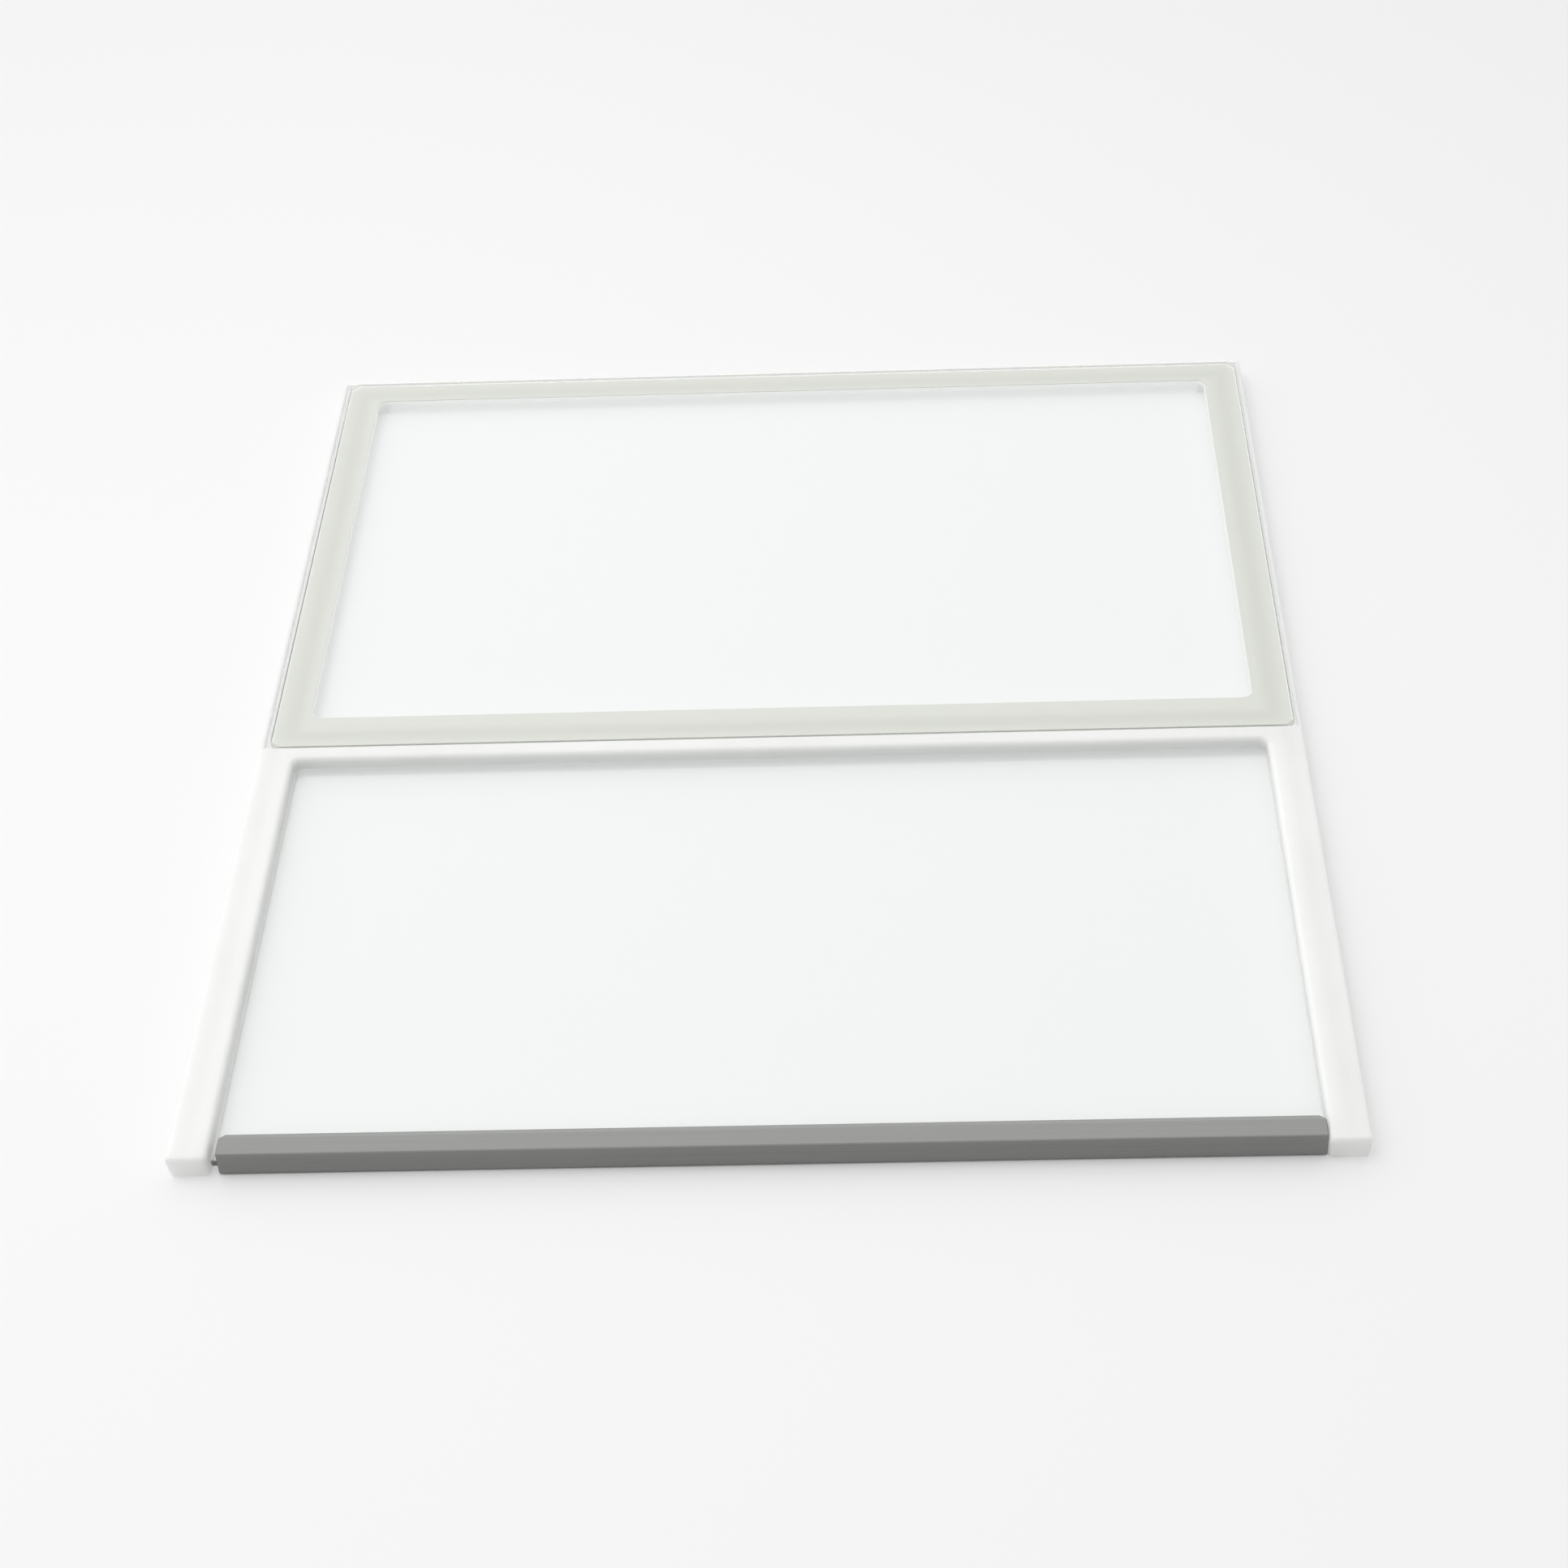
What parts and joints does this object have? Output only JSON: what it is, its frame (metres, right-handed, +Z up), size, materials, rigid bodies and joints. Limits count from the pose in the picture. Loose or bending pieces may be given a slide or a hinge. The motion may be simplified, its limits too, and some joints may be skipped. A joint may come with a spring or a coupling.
{
  "type": "refrigerator glass shelf",
  "caption": "Flat refrigerator shelf: a white moulded frame holds a fixed rear glass pane, and a lower clear front pane with a grey trim slides back under it.",
  "frame": {"origin": "middle of the underside that the shelf rests on", "axes": "+Z up, +Y from the trimmed front edge towards the back of the refrigerator, +X to the right as seen from the front"},
  "size_m": [0.43, 0.472, 0.0104],
  "materials": {
    "frame_plastic": "satin white moulding",
    "rear_pane": "polished, with ground edges",
    "adhesive": "smooth, pale and slightly streaked",
    "front_pane": "polished, with ground edges",
    "trim_plastic": "satin grey"
  },
  "bodies": {
    "shelf_frame": {"frame": "frame_plastic", "rear_glass": "rear_pane", "adhesive_bed": "adhesive"},
    "sliding_panel": {"sliding_glass": "front_pane", "front_trim": "trim_plastic"}
  },
  "joints": [
    {"name": "pane_slide", "type": "slide", "parent": "shelf_frame", "child": "sliding_panel", "axis": [0, 1, 0], "range_m": [0, 0.1933]}
  ]
}
